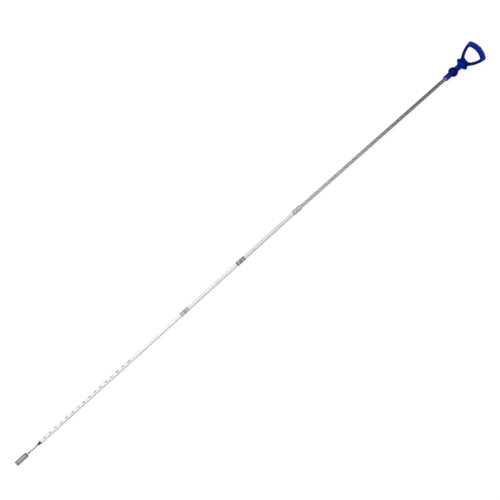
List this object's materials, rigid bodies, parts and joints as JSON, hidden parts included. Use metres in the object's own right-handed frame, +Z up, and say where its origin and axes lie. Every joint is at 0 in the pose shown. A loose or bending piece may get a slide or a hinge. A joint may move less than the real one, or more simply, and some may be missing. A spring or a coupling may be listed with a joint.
{
  "type": "oil dipstick",
  "caption": "Flexible oil dipstick: weighted tip, scaled plastic sleeve in crimped lengths, laid steel cable, ball seal and blue loop handle.",
  "frame": {"origin": "on the surface that the dipstick lies on, under the middle of its whole length and width", "axes": "+X from the tip to the handle, +Y across the loop, +Z up from the surface"},
  "size_m": [0.8248, 0.0316, 0.0182],
  "materials": {
    "handle_plastic": "moulded, slightly worn gloss",
    "seal_rubber": "satin moulded rubber",
    "anchor_steel": "pressed",
    "cable_steel": "drawn and laid wire",
    "ferrule_steel": "pressed, dull",
    "sleeve_plastic": "extruded, slightly grey",
    "scale_plastic": "extruded, white with a printed scale",
    "crimp_steel": "pressed, dull",
    "cone_plastic": "moulded",
    "wire_steel": "drawn wire",
    "bead_steel": "pressed",
    "tip_steel": "turned"
  },
  "bodies": {
    "root": {"handle": "handle_plastic", "tube_seal": "seal_rubber", "cable_anchor": "anchor_steel", "cable_strand_1": "cable_steel", "cable_strand_2": "cable_steel", "cable_strand_3": "cable_steel", "splice_ferrule": "ferrule_steel", "upper_sleeve": "sleeve_plastic", "middle_sleeve": "sleeve_plastic", "lower_sleeve": "scale_plastic", "upper_crimp": "crimp_steel", "lower_crimp": "crimp_steel", "end_cone": "cone_plastic", "core_wire": "wire_steel", "wire_bead": "bead_steel", "tip_weight": "tip_steel"}
  },
  "joints": []
}
